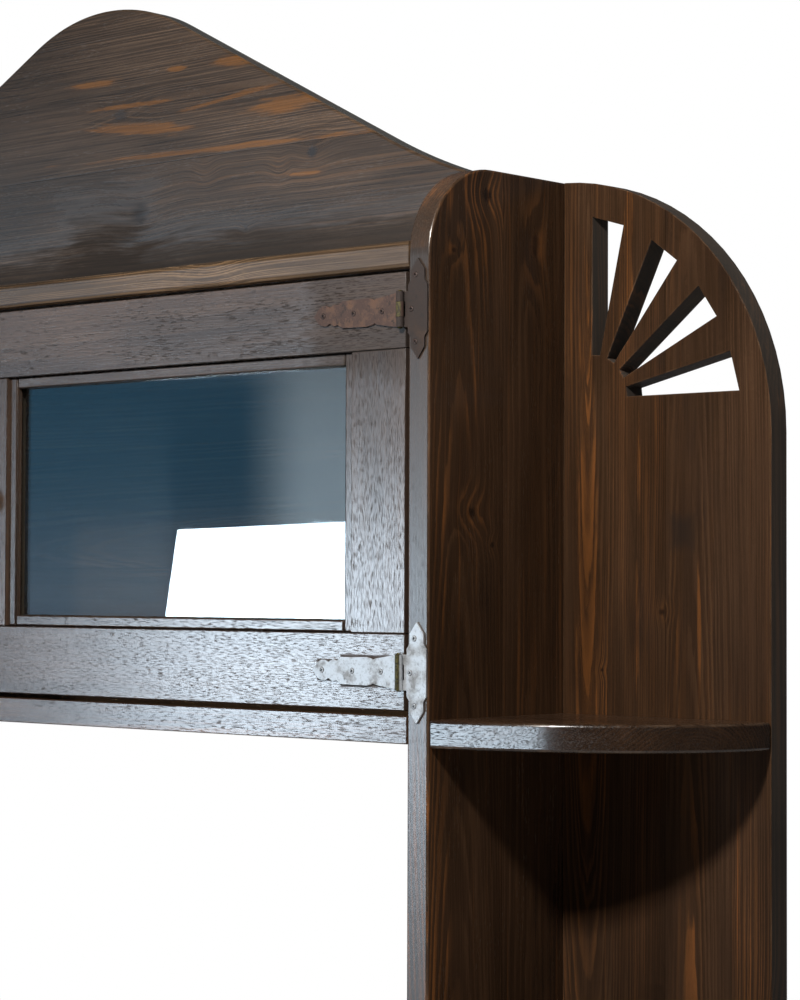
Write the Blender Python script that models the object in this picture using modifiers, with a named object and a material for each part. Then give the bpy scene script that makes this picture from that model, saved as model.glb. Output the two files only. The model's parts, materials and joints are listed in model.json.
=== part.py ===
"""Dark-stained pine wall unit, built board by board.

Two uprights carry a glazed centre cabinet with an arched crest. A wing with quarter-round
shelves and a pierced sunburst stands outside each upright. The two cabinet doors hang on
iron strap hinges. Metres, +Z up, the floor at Z = 0, the front towards -Y.
"""
import math

import bmesh
import bpy

# Boards
BOARD = 0.032
BACK_BOARD = 0.032
PANEL = 0.016
SEAT_GAP = 0.0003

# Main frame
CENTRE_WIDTH = 1.600
SHELF_DEPTH = 0.244
CABINET_UNDERSIDE = 1.230
CABINET_OPENING = 0.514
UPRIGHT_RISE = 0.090
UPRIGHT_CORNER = 0.110
BASE_TOP = 0.104
TOE_SETBACK = 0.020

# Wings
WING_REACH = 0.300
WING_ROUND_INSET = 0.010
WING_SHELF_DROP = 0.003
WING_LEVELS = 4
SUN_ACROSS = 0.0537
SUN_ABOVE = 0.0475
SUN_RAYS = 4
SUN_HUB = 0.052
SUN_MARGIN = 0.040

# Crest
CREST_SWEEP_RUN = 0.260
CREST_CROWN_RUN = 0.150
CREST_FOOT_ANGLE = math.radians(10.0)
CREST_SLOPE_ANGLE = math.radians(27.3)

# Doors
DOOR_THICKNESS = 0.028
DOOR_SIDE_GAP = 0.004
DOOR_TOP_GAP = 0.004
DOOR_FOOT_GAP = 0.006
STILE = 0.085
RAIL = 0.088
LIP_WIDTH = 0.009
LIP_THICKNESS = 0.008
GLASS = 0.004
BEAD_WIDTH = 0.015
BEAD_SETBACK = 0.005

# Strap hinges
LEAF = 0.0022
LEAF_MARGIN = 0.0012
PIN_RADIUS = 0.0025
PIN_PLAY = 0.0003
PIN_INSET = 0.008
KNUCKLE_WALL = 0.0019
BARREL_LIFT = 0.0005
BARREL_LENGTH = 0.041
STRAP_KNUCKLE = 0.017
NOTCH_PLAY = 0.0005
PIN_HEAD = 0.0012
STRAP_TIP = 0.140
STRAP_EDGE = (
    (0.010, 0.0195),
    (0.040, 0.0150),
    (0.043, 0.0133),
    (0.046, 0.0150),
    (0.054, 0.0165),
    (0.094, 0.0158),
    (0.101, 0.0116),
    (0.1075, 0.0131),
    (0.114, 0.0092),
    (0.119, 0.0118),
    (0.125, 0.0120),
    (0.131, 0.0098),
)
FRAME_LEAF_TIP = 0.058
FRAME_LEAF_BODY = 0.027
FRAME_LEAF_SHOULDER = 0.033
FRAME_LEAF_SPEAR = 0.044
FRAME_LEAF_NECK = 0.0044

# Fittings inside and on the doors
KNOB_REACH = 0.030
KNOB_RADIUS = 0.015
KNOB_NECK = 0.006
KNOB_ROSE = 0.011
KNOB_ROSE_DEPTH = 0.003
STOP = 0.018
STOP_PLAY = 0.0008
HANGING_RAIL = 0.050
CATCH_LENGTH = 0.045
CATCH_DEPTH = 0.016
CATCH_HEIGHT = 0.014
CATCH_PLAY = 0.0006
CATCH_FROM_CENTRE = 0.030
STRIKE_THICKNESS = 0.0015

# Facets on round work
ARC_STEPS = 20
ROUND_STEPS = 16

# Sizes that follow from those above
UPRIGHT_DEPTH = SHELF_DEPTH + BACK_BOARD
FRONT = (KNOB_REACH + SEAT_GAP - UPRIGHT_DEPTH) / 2
BACK = FRONT + UPRIGHT_DEPTH
WING_BACK_FACE = FRONT + SHELF_DEPTH
HALF = CENTRE_WIDTH / 2
OUTER_FACE = HALF + BOARD
WING_ROUND = WING_REACH + WING_ROUND_INSET
CABINET_FLOOR = CABINET_UNDERSIDE + BOARD
CABINET_CEILING = CABINET_FLOOR + CABINET_OPENING
CREST_FOOT = CABINET_CEILING + BOARD
UPRIGHT_TOP = CREST_FOOT + UPRIGHT_RISE
WING_TOP_LEVEL = CABINET_FLOOR - WING_SHELF_DROP
LEVEL_STEP = (WING_TOP_LEVEL - BASE_TOP) / (WING_LEVELS - 1)
COUNTER_TOP = BASE_TOP + LEVEL_STEP

DOOR_WIDTH = HALF - 1.5 * DOOR_SIDE_GAP
DOOR_FOOT = CABINET_FLOOR + DOOR_FOOT_GAP
DOOR_HEIGHT = CABINET_OPENING - DOOR_TOP_GAP - DOOR_FOOT_GAP
DOOR_HEAD = DOOR_FOOT + DOOR_HEIGHT
DOOR_BACK = FRONT + DOOR_THICKNESS
GLASS_BACK = DOOR_BACK - LIP_THICKNESS - SEAT_GAP
GLASS_FRONT = GLASS_BACK - GLASS

KNUCKLE_RADIUS = PIN_RADIUS + PIN_PLAY + KNUCKLE_WALL
LEAF_BACK = FRONT - SEAT_GAP
PIN_Y = LEAF_BACK - BARREL_LIFT - KNUCKLE_RADIUS
PIN_X = HALF - PIN_INSET
NOTCH = KNUCKLE_RADIUS + NOTCH_PLAY
SIDES = {"right": 1, "left": -1}
HINGE_HEIGHTS = {"lower": DOOR_FOOT + RAIL / 2, "upper": DOOR_HEAD - RAIL / 2}

PARTS = "wall_unit"
CUTTERS = "wall_unit_cutters"


def clear_scene():
    for thing in list(bpy.data.objects):
        bpy.data.objects.remove(thing, do_unlink=True)


def collection(name):
    found = bpy.data.collections.get(name)
    if found is None:
        found = bpy.data.collections.new(name)
        bpy.context.scene.collection.children.link(found)
    return found


def finish_material(name, colour, roughness, metallic=0.0, alpha=1.0):
    material = bpy.data.materials.get(name)
    if material is None:
        material = bpy.data.materials.new(name)
        material.use_nodes = True
        shader = material.node_tree.nodes["Principled BSDF"]
        shader.inputs["Base Color"].default_value = (*colour, 1.0)
        shader.inputs["Roughness"].default_value = roughness
        shader.inputs["Metallic"].default_value = metallic
        shader.inputs["Alpha"].default_value = alpha
    return material


def carcass_wood():
    return finish_material("stained_pine", (0.045, 0.022, 0.011), 0.42)


def crest_wood():
    return finish_material("crest_pine", (0.062, 0.034, 0.019), 0.40)


def door_wood():
    return finish_material("door_pine", (0.070, 0.052, 0.045), 0.45)


def clear_glass():
    return finish_material("window_glass", (0.80, 0.86, 0.88), 0.02, alpha=0.25)


def zinc_plate():
    return finish_material("worn_zinc", (0.62, 0.65, 0.66), 0.35, metallic=1.0)


def rusty_plate():
    return finish_material("brown_iron", (0.13, 0.10, 0.085), 0.55, metallic=0.8)


def dull_brass():
    return finish_material("dull_brass", (0.20, 0.16, 0.05), 0.45, metallic=1.0)


def black_iron():
    return finish_material("black_iron", (0.030, 0.028, 0.027), 0.5, metallic=0.8)


def hinge_plate(level):
    return zinc_plate() if level == "lower" else rusty_plate()


def add_object(name, data, material, parent=None):
    """Link a part to the wall unit's collection with its finish."""
    thing = bpy.data.objects.new(name, data)
    data.materials.append(material)
    collection(PARTS).objects.link(thing)
    thing.parent = parent
    return thing


def place(thing, centre):
    """Set a part at a point of the room, also under a parent that isn't turned."""
    origin = thing.parent.location if thing.parent else (0.0, 0.0, 0.0)
    thing.location = [point - start for point, start in zip(centre, origin)]


def box_mesh(name, size):
    mesh = bpy.data.meshes.new(name)
    work = bmesh.new()
    bmesh.ops.create_cube(work, size=1.0)
    bmesh.ops.scale(work, vec=size, verts=work.verts)
    work.to_mesh(mesh)
    work.free()
    return mesh


def span(side, near, far):
    """Return the room's X range of a stretch that is measured outwards on one side."""
    return sorted((side * near, side * far))


def board(name, x, y, z, material, parent=None):
    """Make a squared board from its ranges along X, Y and Z."""
    size = [high - low for low, high in (x, y, z)]
    thing = add_object(name, box_mesh(name, size), material, parent)
    place(thing, [(low + high) / 2 for low, high in (x, y, z)])
    return thing


def cutter(name, mesh, centre, rotation=(0.0, 0.0, 0.0)):
    thing = bpy.data.objects.new(name, mesh)
    collection(CUTTERS).objects.link(thing)
    thing.location = centre
    thing.rotation_euler = rotation
    thing.hide_render = True
    thing.display_type = "WIRE"
    return thing


def combine(thing, other, operation):
    change = thing.modifiers.new(other.name, "BOOLEAN")
    change.operation = operation
    change.object = other


def arc(centre, across, up, start, end, steps=ARC_STEPS):
    """Return points of an ellipse's arc, angles measured from the first axis."""
    angles = [start + (end - start) * step / steps for step in range(steps + 1)]
    return [(centre[0] + across * math.cos(a), centre[1] + up * math.sin(a)) for a in angles]


TURNS = {
    "XY": (0.0, 0.0, 0.0),
    "XZ": (math.pi / 2, 0.0, 0.0),
    "YZ": (math.pi / 2, 0.0, math.pi / 2),
}


def outline_curve(name, loops, thickness):
    curve = bpy.data.curves.new(name, "CURVE")
    curve.dimensions = "2D"
    curve.fill_mode = "BOTH"
    curve.extrude = thickness / 2
    for loop in loops:
        spline = curve.splines.new("POLY")
        spline.points.add(len(loop) - 1)
        for point, (x, y) in zip(spline.points, loop):
            point.co = (x, y, 0.0, 1.0)
        spline.use_cyclic_u = True
    return curve


def cut_board(name, loops, thickness, plane, centre, material):
    """Make a board from its sawn outline, with any pierced loops, in one of the main planes."""
    thing = add_object(name, outline_curve(name, loops, thickness), material)
    thing.rotation_euler = TURNS[plane]
    place(thing, centre)
    return thing


def outline_mesh(name, loop, thickness, plane, centre):
    """Return a closed mesh of an outline, in room coordinates, ready to be joined or cut."""
    guide = bpy.data.objects.new(name, outline_curve(name, [loop], thickness))
    collection(CUTTERS).objects.link(guide)
    guide.rotation_euler = TURNS[plane]
    guide.location = centre
    depsgraph = bpy.context.evaluated_depsgraph_get()
    mesh = bpy.data.meshes.new_from_object(guide.evaluated_get(depsgraph))
    work = bmesh.new()
    work.from_mesh(mesh)
    bmesh.ops.remove_doubles(work, verts=work.verts, dist=0.00001)
    work.transform(guide.matrix_world)
    bmesh.ops.recalc_face_normals(work, faces=work.faces)
    work.to_mesh(mesh)
    work.free()
    bpy.data.objects.remove(guide, do_unlink=True)
    return mesh


def rod_mesh(name, radius, length):
    mesh = bpy.data.meshes.new(name)
    work = bmesh.new()
    bmesh.ops.create_cone(work, cap_ends=True, segments=ROUND_STEPS,
                          radius1=radius, radius2=radius, depth=length)
    work.to_mesh(mesh)
    work.free()
    mesh.shade_smooth()
    mesh.set_sharp_from_angle(angle=math.radians(40))
    return mesh


def turned(name, profile, material, parent=None):
    """Turn a profile, given from its top down its outer side, round the Z axis."""
    mesh = bpy.data.meshes.new(name)
    work = bmesh.new()
    corners = [work.verts.new((radius, 0.0, height)) for radius, height in profile]
    for first, second in zip(corners, corners[1:]):
        work.edges.new((first, second))
    work.to_mesh(mesh)
    work.free()
    thing = add_object(name, mesh, material, parent)
    lathe = thing.modifiers.new("lathe", "SCREW")
    lathe.steps = ROUND_STEPS
    lathe.render_steps = ROUND_STEPS
    lathe.use_merge_vertices = True
    lathe.merge_threshold = 0.00001
    lathe.use_smooth_shade = True
    return thing


def upright(side_name, side):
    """Side board with its front top corner rounded off."""
    corner = (FRONT + UPRIGHT_CORNER, UPRIGHT_TOP - UPRIGHT_CORNER)
    rounding = arc(corner, UPRIGHT_CORNER, UPRIGHT_CORNER, math.pi, math.pi / 2)
    loop = [(BACK, 0.0), (FRONT, 0.0), *rounding, (BACK, UPRIGHT_TOP)]
    centre = (side * (HALF + BOARD / 2), 0.0, 0.0)
    cut_board(f"upright_{side_name}", [loop], BOARD, "YZ", centre, carcass_wood())


def sun_slot(angle_from, angle_to):
    """One pierced ray, from the hub to a margin inside the rounded top.

    Across and up are measured from the centre of the wing's rounded top, and angles from
    upright, about the sun's own centre.
    """
    reach = WING_ROUND - SUN_MARGIN
    ends = []
    for angle in (angle_from, angle_to):
        along = (math.sin(angle), math.cos(angle))
        lean = SUN_ACROSS * along[0] + SUN_ABOVE * along[1]
        short = SUN_ACROSS ** 2 + SUN_ABOVE ** 2 - reach ** 2
        length = -lean + math.sqrt(lean ** 2 - short)
        ends.append([(SUN_ACROSS + r * along[0], SUN_ABOVE + r * along[1]) for r in (SUN_HUB, length)])
    return [ends[0][0], ends[0][1], ends[1][1], ends[1][0]]


def wing_back(side_name, side):
    """Back board of a wing, with a quarter-round top and a pierced quarter sun."""
    inner = OUTER_FACE + SEAT_GAP
    centre = (OUTER_FACE - WING_ROUND_INSET, UPRIGHT_TOP - WING_ROUND)
    meeting = math.acos((inner - centre[0]) / WING_ROUND)
    top = arc(centre, WING_ROUND, WING_ROUND, 0.0, meeting)
    outline = [(inner, 0.0), (OUTER_FACE + WING_REACH, 0.0), *top]
    sector = math.pi / 2 / (2 * SUN_RAYS - 1)
    slots = [sun_slot(2 * ray * sector, (2 * ray + 1) * sector) for ray in range(SUN_RAYS)]
    loops = [outline] + [[(centre[0] + x, centre[1] + z) for x, z in slot] for slot in slots]
    loops = [[(side * x, z) for x, z in loop] for loop in loops]
    place_at = (0.0, WING_BACK_FACE + BACK_BOARD / 2, 0.0)
    cut_board(f"wing_back_{side_name}", loops, BACK_BOARD, "XZ", place_at, carcass_wood())


def wing_shelf(side_name, side, level):
    """Quarter-round shelf in the corner of an upright and its wing back."""
    inner = OUTER_FACE + SEAT_GAP
    rear = WING_BACK_FACE - SEAT_GAP
    across = WING_REACH - SEAT_GAP
    front = arc((inner, rear), across, rear - FRONT, 0.0, -math.pi / 2)
    loop = [(side * x, y) for x, y in [(inner, rear), *front]]
    top = BASE_TOP + level * LEVEL_STEP
    centre = (0.0, 0.0, top - BOARD / 2)
    cut_board(f"wing_shelf_{side_name}_{level + 1}", [loop], BOARD, "XY", centre, carcass_wood())


def between_uprights():
    return (-HALF + SEAT_GAP, HALF - SEAT_GAP)


def cabinet_boards():
    """Top, bottom and back of the glazed cabinet, and the rail that screws to a wall."""
    width = between_uprights()
    full = (FRONT, BACK)
    board("cabinet_bottom", width, full, (CABINET_UNDERSIDE, CABINET_FLOOR), carcass_wood())
    board("cabinet_top", width, full, (CABINET_CEILING, CREST_FOOT), carcass_wood())
    inside = (CABINET_FLOOR + SEAT_GAP, CABINET_CEILING - SEAT_GAP)
    back_face = BACK - PANEL
    board("cabinet_back", width, (back_face, BACK), inside, carcass_wood())
    rail_face = back_face - SEAT_GAP
    rail_height = (inside[1] - HANGING_RAIL, inside[1])
    board("hanging_rail", width, (rail_face - PANEL, rail_face), rail_height, carcass_wood())


def crest_edge():
    """Half of the crest's top edge, from an upright in to the middle.

    It rises from a shallow foot through a hollow sweep to a straight slope, and closes in
    a round crown.
    """
    sweep = CREST_SWEEP_RUN / (math.sin(CREST_SLOPE_ANGLE) - math.sin(CREST_FOOT_ANGLE))
    crown = CREST_CROWN_RUN / math.sin(CREST_SLOPE_ANGLE)
    start = HALF - SEAT_GAP
    foot_turn = CREST_FOOT_ANGLE
    points = []
    for step in range(ARC_STEPS + 1):
        turn = foot_turn + (CREST_SLOPE_ANGLE - foot_turn) * step / ARC_STEPS
        run = sweep * (math.sin(turn) - math.sin(foot_turn))
        points.append((start - run, UPRIGHT_TOP + sweep * (math.cos(foot_turn) - math.cos(turn))))
    slope_run = points[-1][0] - CREST_CROWN_RUN
    crown_foot = points[-1][1] + slope_run * math.tan(CREST_SLOPE_ANGLE)
    for step in range(ARC_STEPS + 1):
        turn = CREST_SLOPE_ANGLE * (1 - step / ARC_STEPS)
        rise = crown * (math.cos(turn) - math.cos(CREST_SLOPE_ANGLE))
        points.append((crown * math.sin(turn), crown_foot + rise))
    return points


def crest():
    """Arched board above the cabinet, standing on its top in line with the wing backs."""
    half = crest_edge()
    foot = CREST_FOOT + SEAT_GAP
    edge = half + [(-x, z) for x, z in reversed(half[:-1])]
    loop = [(half[0][0], foot), *edge, (-half[0][0], foot)]
    centre = (0.0, BACK - BACK_BOARD / 2, 0.0)
    cut_board("crest", [loop], BACK_BOARD, "XZ", centre, crest_wood())


def lower_boards():
    """Counter, base shelf, divider and toe board under the open niche."""
    width = between_uprights()
    full = (FRONT, BACK)
    board("counter_shelf", width, full, (COUNTER_TOP - BOARD, COUNTER_TOP), carcass_wood())
    board("base_shelf", width, full, (BASE_TOP - BOARD, BASE_TOP), carcass_wood())
    between = (BASE_TOP + SEAT_GAP, COUNTER_TOP - BOARD - SEAT_GAP)
    board("centre_divider", (-BOARD / 2, BOARD / 2), full, between, carcass_wood())
    toe = (FRONT + TOE_SETBACK, FRONT + TOE_SETBACK + BOARD)
    board("toe_board", width, toe, (0.0, BASE_TOP - BOARD - SEAT_GAP), carcass_wood())


def door_stop():
    """Strip under the cabinet's top that the doors close against."""
    face = DOOR_BACK + STOP_PLAY
    height = (CABINET_CEILING - SEAT_GAP - STOP, CABINET_CEILING - SEAT_GAP)
    board("door_stop", between_uprights(), (face, face + STOP), height, carcass_wood())


def catch_height():
    top = CABINET_CEILING - 2 * SEAT_GAP - STOP
    return (top - CATCH_HEIGHT, top)


def door_catch(side_name, side):
    """Magnetic catch under the door stop, near where the doors meet."""
    face = DOOR_BACK + SEAT_GAP + STRIKE_THICKNESS + CATCH_PLAY
    x = span(side, CATCH_FROM_CENTRE, CATCH_FROM_CENTRE + CATCH_LENGTH)
    y = (face, face + CATCH_DEPTH)
    board(f"door_catch_{side_name}", x, y, catch_height(), black_iron())


def hinge_axis(side_name, side):
    """Empty on the hinge pins' line, which carries everything that swings with a door."""
    axis = bpy.data.objects.new(f"door_{side_name}_axis", None)
    collection(PARTS).objects.link(axis)
    axis.location = (side * PIN_X, PIN_Y, DOOR_FOOT)
    return axis


def lipped(piece, name, x, z):
    """Join the lip that the glass bears on to the back of a stile or rail."""
    y = (DOOR_BACK - LIP_THICKNESS, DOOR_BACK)
    size = [high - low for low, high in (x, y, z)]
    centre = [(low + high) / 2 for low, high in (x, y, z)]
    combine(piece, cutter(f"{name}_lip", box_mesh(name, size), centre), "UNION")


def door_frame(side_name, side, axis):
    """Two rails across the full width, and two stiles between them."""
    outer = HALF - DOOR_SIDE_GAP
    inner = outer - DOOR_WIDTH
    thick = (FRONT, DOOR_BACK)
    opening = (inner + STILE, outer - STILE)
    sight = (DOOR_FOOT + RAIL, DOOR_HEAD - RAIL)
    wood = door_wood()
    rails = {
        "bottom_rail": ((DOOR_FOOT, sight[0]), (sight[0] - LIP_WIDTH, sight[0] + LIP_WIDTH)),
        "top_rail": ((sight[1], DOOR_HEAD), (sight[1] - LIP_WIDTH, sight[1] + LIP_WIDTH)),
    }
    lip_length = span(side, opening[0] + SEAT_GAP, opening[1] - SEAT_GAP)
    for rail, (height, lip) in rails.items():
        name = f"door_{side_name}_{rail}"
        piece = board(name, span(side, inner, outer), thick, height, wood, axis)
        lipped(piece, name, lip_length, lip)
    stiles = {
        "hinge_stile": ((opening[1], outer), opening[1]),
        "latch_stile": ((inner, opening[0]), opening[0]),
    }
    height = (sight[0] + SEAT_GAP, sight[1] - SEAT_GAP)
    lip_height = (height[0] + LIP_WIDTH, height[1] - LIP_WIDTH)
    for stile, (reach, edge) in stiles.items():
        name = f"door_{side_name}_{stile}"
        piece = board(name, span(side, *reach), thick, height, wood, axis)
        lipped(piece, name, span(side, edge - LIP_WIDTH, edge + LIP_WIDTH), lip_height)


def door_glazing(side_name, side, axis):
    """Pane against the lips, held by four beads from the front."""
    outer = HALF - DOOR_SIDE_GAP - STILE - SEAT_GAP
    inner = HALF - DOOR_SIDE_GAP - DOOR_WIDTH + STILE + SEAT_GAP
    low = DOOR_FOOT + RAIL + SEAT_GAP
    high = DOOR_HEAD - RAIL - SEAT_GAP
    board(f"door_{side_name}_glass", span(side, inner, outer), (GLASS_FRONT, GLASS_BACK),
          (low, high), clear_glass(), axis)
    thick = (FRONT + BEAD_SETBACK, GLASS_FRONT - SEAT_GAP)
    between = (inner + BEAD_WIDTH + SEAT_GAP, outer - BEAD_WIDTH - SEAT_GAP)
    beads = {
        "bead_hinge_side": ((outer - BEAD_WIDTH, outer), (low, high)),
        "bead_latch_side": ((inner, inner + BEAD_WIDTH), (low, high)),
        "bead_bottom": (between, (low, low + BEAD_WIDTH)),
        "bead_top": (between, (high - BEAD_WIDTH, high)),
    }
    for bead, (reach, height) in beads.items():
        board(f"door_{side_name}_{bead}", span(side, *reach), thick, height, door_wood(), axis)


def door_knob(side_name, side, axis):
    """Small turned knob in the middle of the latch stile."""
    waist = KNOB_ROSE_DEPTH + KNOB_NECK
    middle = (waist + KNOB_REACH) / 2
    ball = arc((0.0, middle), KNOB_RADIUS, KNOB_REACH - middle, math.pi / 2, -math.pi / 3, 8)
    profile = [*ball, (KNOB_NECK, waist), (KNOB_NECK, KNOB_ROSE_DEPTH),
               (KNOB_ROSE, KNOB_ROSE_DEPTH), (KNOB_ROSE, 0.0), (0.0, 0.0)]
    knob = turned(f"door_{side_name}_knob", profile, black_iron(), axis)
    knob.rotation_euler = (math.pi / 2, 0.0, 0.0)
    x = HALF - DOOR_SIDE_GAP - DOOR_WIDTH + STILE / 2
    place(knob, (side * x, FRONT - SEAT_GAP, DOOR_FOOT + DOOR_HEIGHT / 2))


def strike_plate(side_name, side, axis):
    """Plate on a door's back that its catch holds."""
    x = span(side, CATCH_FROM_CENTRE, CATCH_FROM_CENTRE + CATCH_LENGTH)
    back = DOOR_BACK + SEAT_GAP
    board(f"door_{side_name}_strike_plate", x, (back, back + STRIKE_THICKNESS), catch_height(),
          black_iron(), axis)


def barrel_pieces(leaf, name, centre, knuckles):
    """Join a leaf's knuckles to its plate, then bore them for the pin."""
    for number, (low, high) in enumerate(knuckles):
        ring = rod_mesh(name, KNUCKLE_RADIUS, high - low)
        place_at = (centre[0], centre[1], centre[2] + (low + high) / 2)
        combine(leaf, cutter(f"{name}_knuckle_{number}", ring, place_at), "UNION")
    bore = rod_mesh(name, PIN_RADIUS + PIN_PLAY, 2 * BARREL_LENGTH)
    combine(leaf, cutter(f"{name}_bore", bore, centre), "DIFFERENCE")


def leaf_object(name, loop, side, height, material, parent=None):
    """Make a hinge plate from its outline, measured outwards from the pin and up from its middle."""
    points = [(side * (PIN_X + x), height + z) for x, z in loop]
    middle = (0.0, LEAF_BACK - LEAF / 2, 0.0)
    mesh = outline_mesh(name, points, LEAF, "XZ", middle)
    leaf = add_object(name, mesh, material, parent)
    place(leaf, (0.0, 0.0, 0.0))
    return leaf


def strap_leaf(side_name, side, level, axis):
    """Long shaped leaf on the door, with the middle knuckle."""
    half_barrel = BARREL_LENGTH / 2
    half_knuckle = STRAP_KNUCKLE / 2
    upper = [(0.0, half_knuckle), (NOTCH, half_knuckle), (NOTCH, half_barrel), *STRAP_EDGE]
    loop = upper + [(STRAP_TIP, 0.0)] + [(x, -z) for x, z in reversed(upper)]
    loop = [(-x, z) for x, z in loop]
    name = f"hinge_strap_{side_name}_{level}"
    height = HINGE_HEIGHTS[level]
    leaf = leaf_object(name, loop, side, height, hinge_plate(level), axis)
    centre = (side * PIN_X, PIN_Y, height)
    barrel_pieces(leaf, name, centre, [(-half_knuckle, half_knuckle)])


def frame_leaf(side_name, side, level):
    """Spear-ended leaf on the upright's front edge, with the two outer knuckles."""
    half_barrel = BARREL_LENGTH / 2
    half_gap = STRAP_KNUCKLE / 2 + SEAT_GAP
    near = HALF + LEAF_MARGIN - PIN_X
    far = OUTER_FACE - LEAF_MARGIN - PIN_X
    middle = (near + far) / 2
    spear = [(far, FRAME_LEAF_BODY), (far - FRAME_LEAF_NECK, FRAME_LEAF_SHOULDER),
             (far - FRAME_LEAF_NECK, FRAME_LEAF_SPEAR), (middle, FRAME_LEAF_TIP),
             (near + FRAME_LEAF_NECK, FRAME_LEAF_SPEAR), (near + FRAME_LEAF_NECK, FRAME_LEAF_SHOULDER),
             (near, FRAME_LEAF_BODY), (near, half_barrel), (0.0, half_barrel), (0.0, half_gap),
             (NOTCH, half_gap)]
    loop = spear + [(x, -z) for x, z in reversed(spear)]
    name = f"hinge_frame_leaf_{side_name}_{level}"
    height = HINGE_HEIGHTS[level]
    leaf = leaf_object(name, loop, side, height, hinge_plate(level))
    centre = (side * PIN_X, PIN_Y, height)
    barrel_pieces(leaf, name, centre, [(half_gap, half_barrel), (-half_barrel, -half_gap)])


def hinge_pin(side_name, side, level):
    """Headed pin through the three knuckles."""
    end = BARREL_LENGTH / 2 + SEAT_GAP
    cap = end + PIN_HEAD
    shoulder = (PIN_RADIUS + KNUCKLE_RADIUS) / 2
    upper = [(0.0, cap), (PIN_RADIUS, cap), (shoulder, end), (PIN_RADIUS, end)]
    profile = upper + [(radius, -z) for radius, z in reversed(upper)]
    pin = turned(f"hinge_pin_{side_name}_{level}", profile, dull_brass())
    place(pin, (side * PIN_X, PIN_Y, HINGE_HEIGHTS[level]))


def hinges(side_name, side, axis):
    for level in HINGE_HEIGHTS:
        strap_leaf(side_name, side, level, axis)
        frame_leaf(side_name, side, level)
        hinge_pin(side_name, side, level)


def main():
    clear_scene()
    cabinet_boards()
    crest()
    lower_boards()
    door_stop()
    for side_name, side in SIDES.items():
        upright(side_name, side)
        wing_back(side_name, side)
        for level in range(WING_LEVELS):
            wing_shelf(side_name, side, level)
        axis = hinge_axis(side_name, side)
        door_frame(side_name, side, axis)
        door_glazing(side_name, side, axis)
        door_knob(side_name, side, axis)
        strike_plate(side_name, side, axis)
        door_catch(side_name, side)
        hinges(side_name, side, axis)


main()
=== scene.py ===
"""Dresses the stained pine wall unit: rounded boards with grain, panes, tarnished hinges and screws."""

import json
import math

import bmesh
import bpy
from mathutils import Matrix, Vector


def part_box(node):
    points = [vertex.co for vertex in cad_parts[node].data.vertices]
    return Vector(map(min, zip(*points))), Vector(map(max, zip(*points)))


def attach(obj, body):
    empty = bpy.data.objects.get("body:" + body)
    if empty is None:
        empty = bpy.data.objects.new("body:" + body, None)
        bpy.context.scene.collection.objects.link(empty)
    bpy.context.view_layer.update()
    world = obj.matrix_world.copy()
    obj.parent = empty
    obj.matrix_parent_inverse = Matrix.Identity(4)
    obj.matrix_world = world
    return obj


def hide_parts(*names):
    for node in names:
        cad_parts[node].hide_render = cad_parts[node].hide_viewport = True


bl_info = {
    "name": "Stained pine wall unit",
    "version": (1, 0, 0),
    "blender": (4, 5, 0),
    "location": "3D View > Sidebar > Wall unit",
    "description": "Builds the boards, doors, hinges and screws of a stained pine wall unit",
    "category": "Object",
}

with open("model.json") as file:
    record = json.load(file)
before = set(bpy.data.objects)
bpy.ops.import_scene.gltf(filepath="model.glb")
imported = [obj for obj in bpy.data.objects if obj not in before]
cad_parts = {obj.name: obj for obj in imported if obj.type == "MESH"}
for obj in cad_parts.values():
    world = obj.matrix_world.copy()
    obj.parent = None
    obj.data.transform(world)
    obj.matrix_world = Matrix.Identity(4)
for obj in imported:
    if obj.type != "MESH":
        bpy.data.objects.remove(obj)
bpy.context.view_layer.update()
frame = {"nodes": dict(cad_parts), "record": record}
SIDES = (("right", 1.0), ("left", -1.0))
HINGE_LEVELS = ("upper", "lower")
ON_FACE = 0.0001


def shade(red, green, blue):
    """A colour given in 8-bit display values, as the linear values that shaders take."""
    return tuple(
        v / 12.92 if v <= 0.04045 else ((v + 0.055) / 1.055) ** 2.4
        for v in (red / 255, green / 255, blue / 255)
    )


def colour_prop(name, description, *display):
    """A colour property with its default given in 8-bit display values."""
    return bpy.props.FloatVectorProperty(
        name=name, description=description, subtype="COLOR", size=3, min=0.0, max=1.0,
        default=shade(*display),
    )


def number_prop(name, description, default, **more):
    """A number that isn't below nought."""
    return bpy.props.FloatProperty(name=name, description=description, default=default, min=0.0, **more)


def length_prop(name, description, default):
    """A length in metres."""
    return number_prop(name, description, default, unit="LENGTH")


# Properties


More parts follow.
